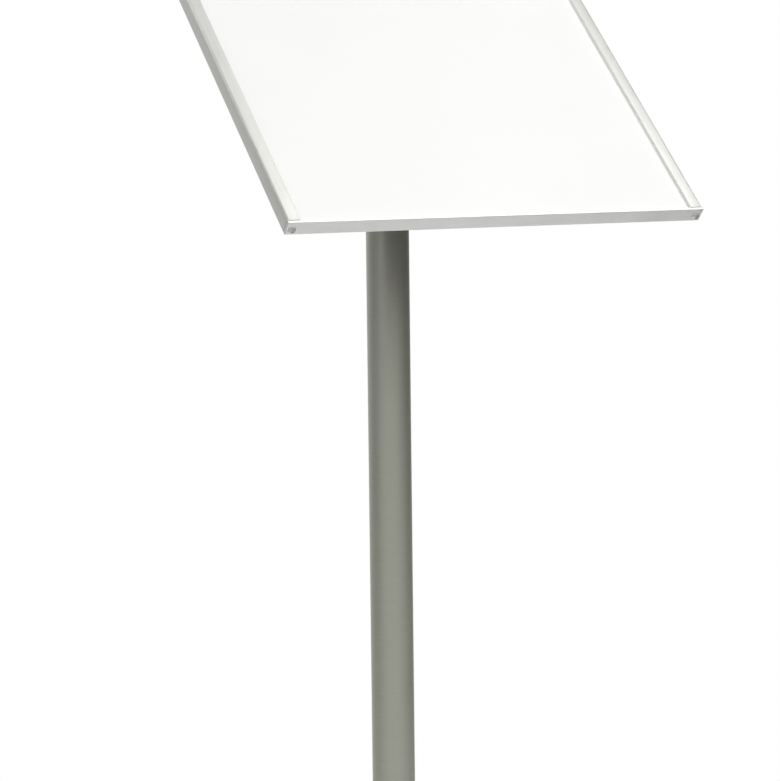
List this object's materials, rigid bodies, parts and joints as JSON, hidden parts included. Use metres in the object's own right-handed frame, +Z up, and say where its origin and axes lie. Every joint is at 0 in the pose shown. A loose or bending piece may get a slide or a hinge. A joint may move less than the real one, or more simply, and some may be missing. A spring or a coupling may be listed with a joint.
{
  "type": "information post",
  "caption": "Free-standing lectern post: a slanted portrait display frame with a slide-in white plate on a tilting head, a round tube and a round floor plate.",
  "frame": {"origin": "on the floor, at the middle of the floor pad's underside, on the tube's axis", "axes": "+Z up along the tube, -Y towards the reader, +X to the reader's right"},
  "size_m": [0.442, 0.4571, 1.2786],
  "materials": {
    "frame_aluminium": "satin anodised extrusion",
    "post_stainless": "satin brushed stainless steel",
    "cast_aluminium": "fine blasted casting",
    "back_sheet": "dark anodised sheet",
    "info_white": "white coated composite plate",
    "fastener": "turned stainless steel",
    "nylon": "moulded nylon",
    "rubber": "matt rubber sheet"
  },
  "bodies": {
    "post": {"floor_pad": "rubber", "base_plate": "post_stainless", "base_screw": "fastener", "base_collar": "post_stainless", "foot_insert": "cast_aluminium", "post_tube": "post_stainless", "head_plug": "cast_aluminium", "head_screw_1": "fastener", "head_screw_2": "fastener", "head_screw_3": "fastener", "pivot_bolt": "fastener", "pivot_nut": "fastener", "pivot_washer_left": "fastener", "pivot_washer_right": "fastener", "friction_washer_left": "nylon", "friction_washer_right": "nylon"},
    "panel": {"panel_bracket": "cast_aluminium", "bracket_screw_1": "fastener", "bracket_screw_2": "fastener", "bracket_screw_3": "fastener", "bracket_screw_4": "fastener", "back_panel": "back_sheet", "left_rail": "frame_aluminium", "right_rail": "frame_aluminium", "bottom_strip": "frame_aluminium", "bottom_strip_screw_left": "fastener", "bottom_strip_screw_right": "fastener"},
    "insert": {"info_plate": "info_white", "top_strip": "frame_aluminium", "top_strip_screw_left": "fastener", "top_strip_screw_right": "fastener"}
  },
  "joints": [
    {"name": "panel_tilt", "type": "hinge", "parent": "post", "child": "panel", "pos_m": [0, 0, 1.0499], "axis": [1, 0, 0], "range_deg": [-27, 33]},
    {"name": "insert_slide", "type": "slide", "parent": "panel", "child": "insert", "axis": [0, 0.7431, 0.6691], "range_m": [0, 0.6]}
  ]
}
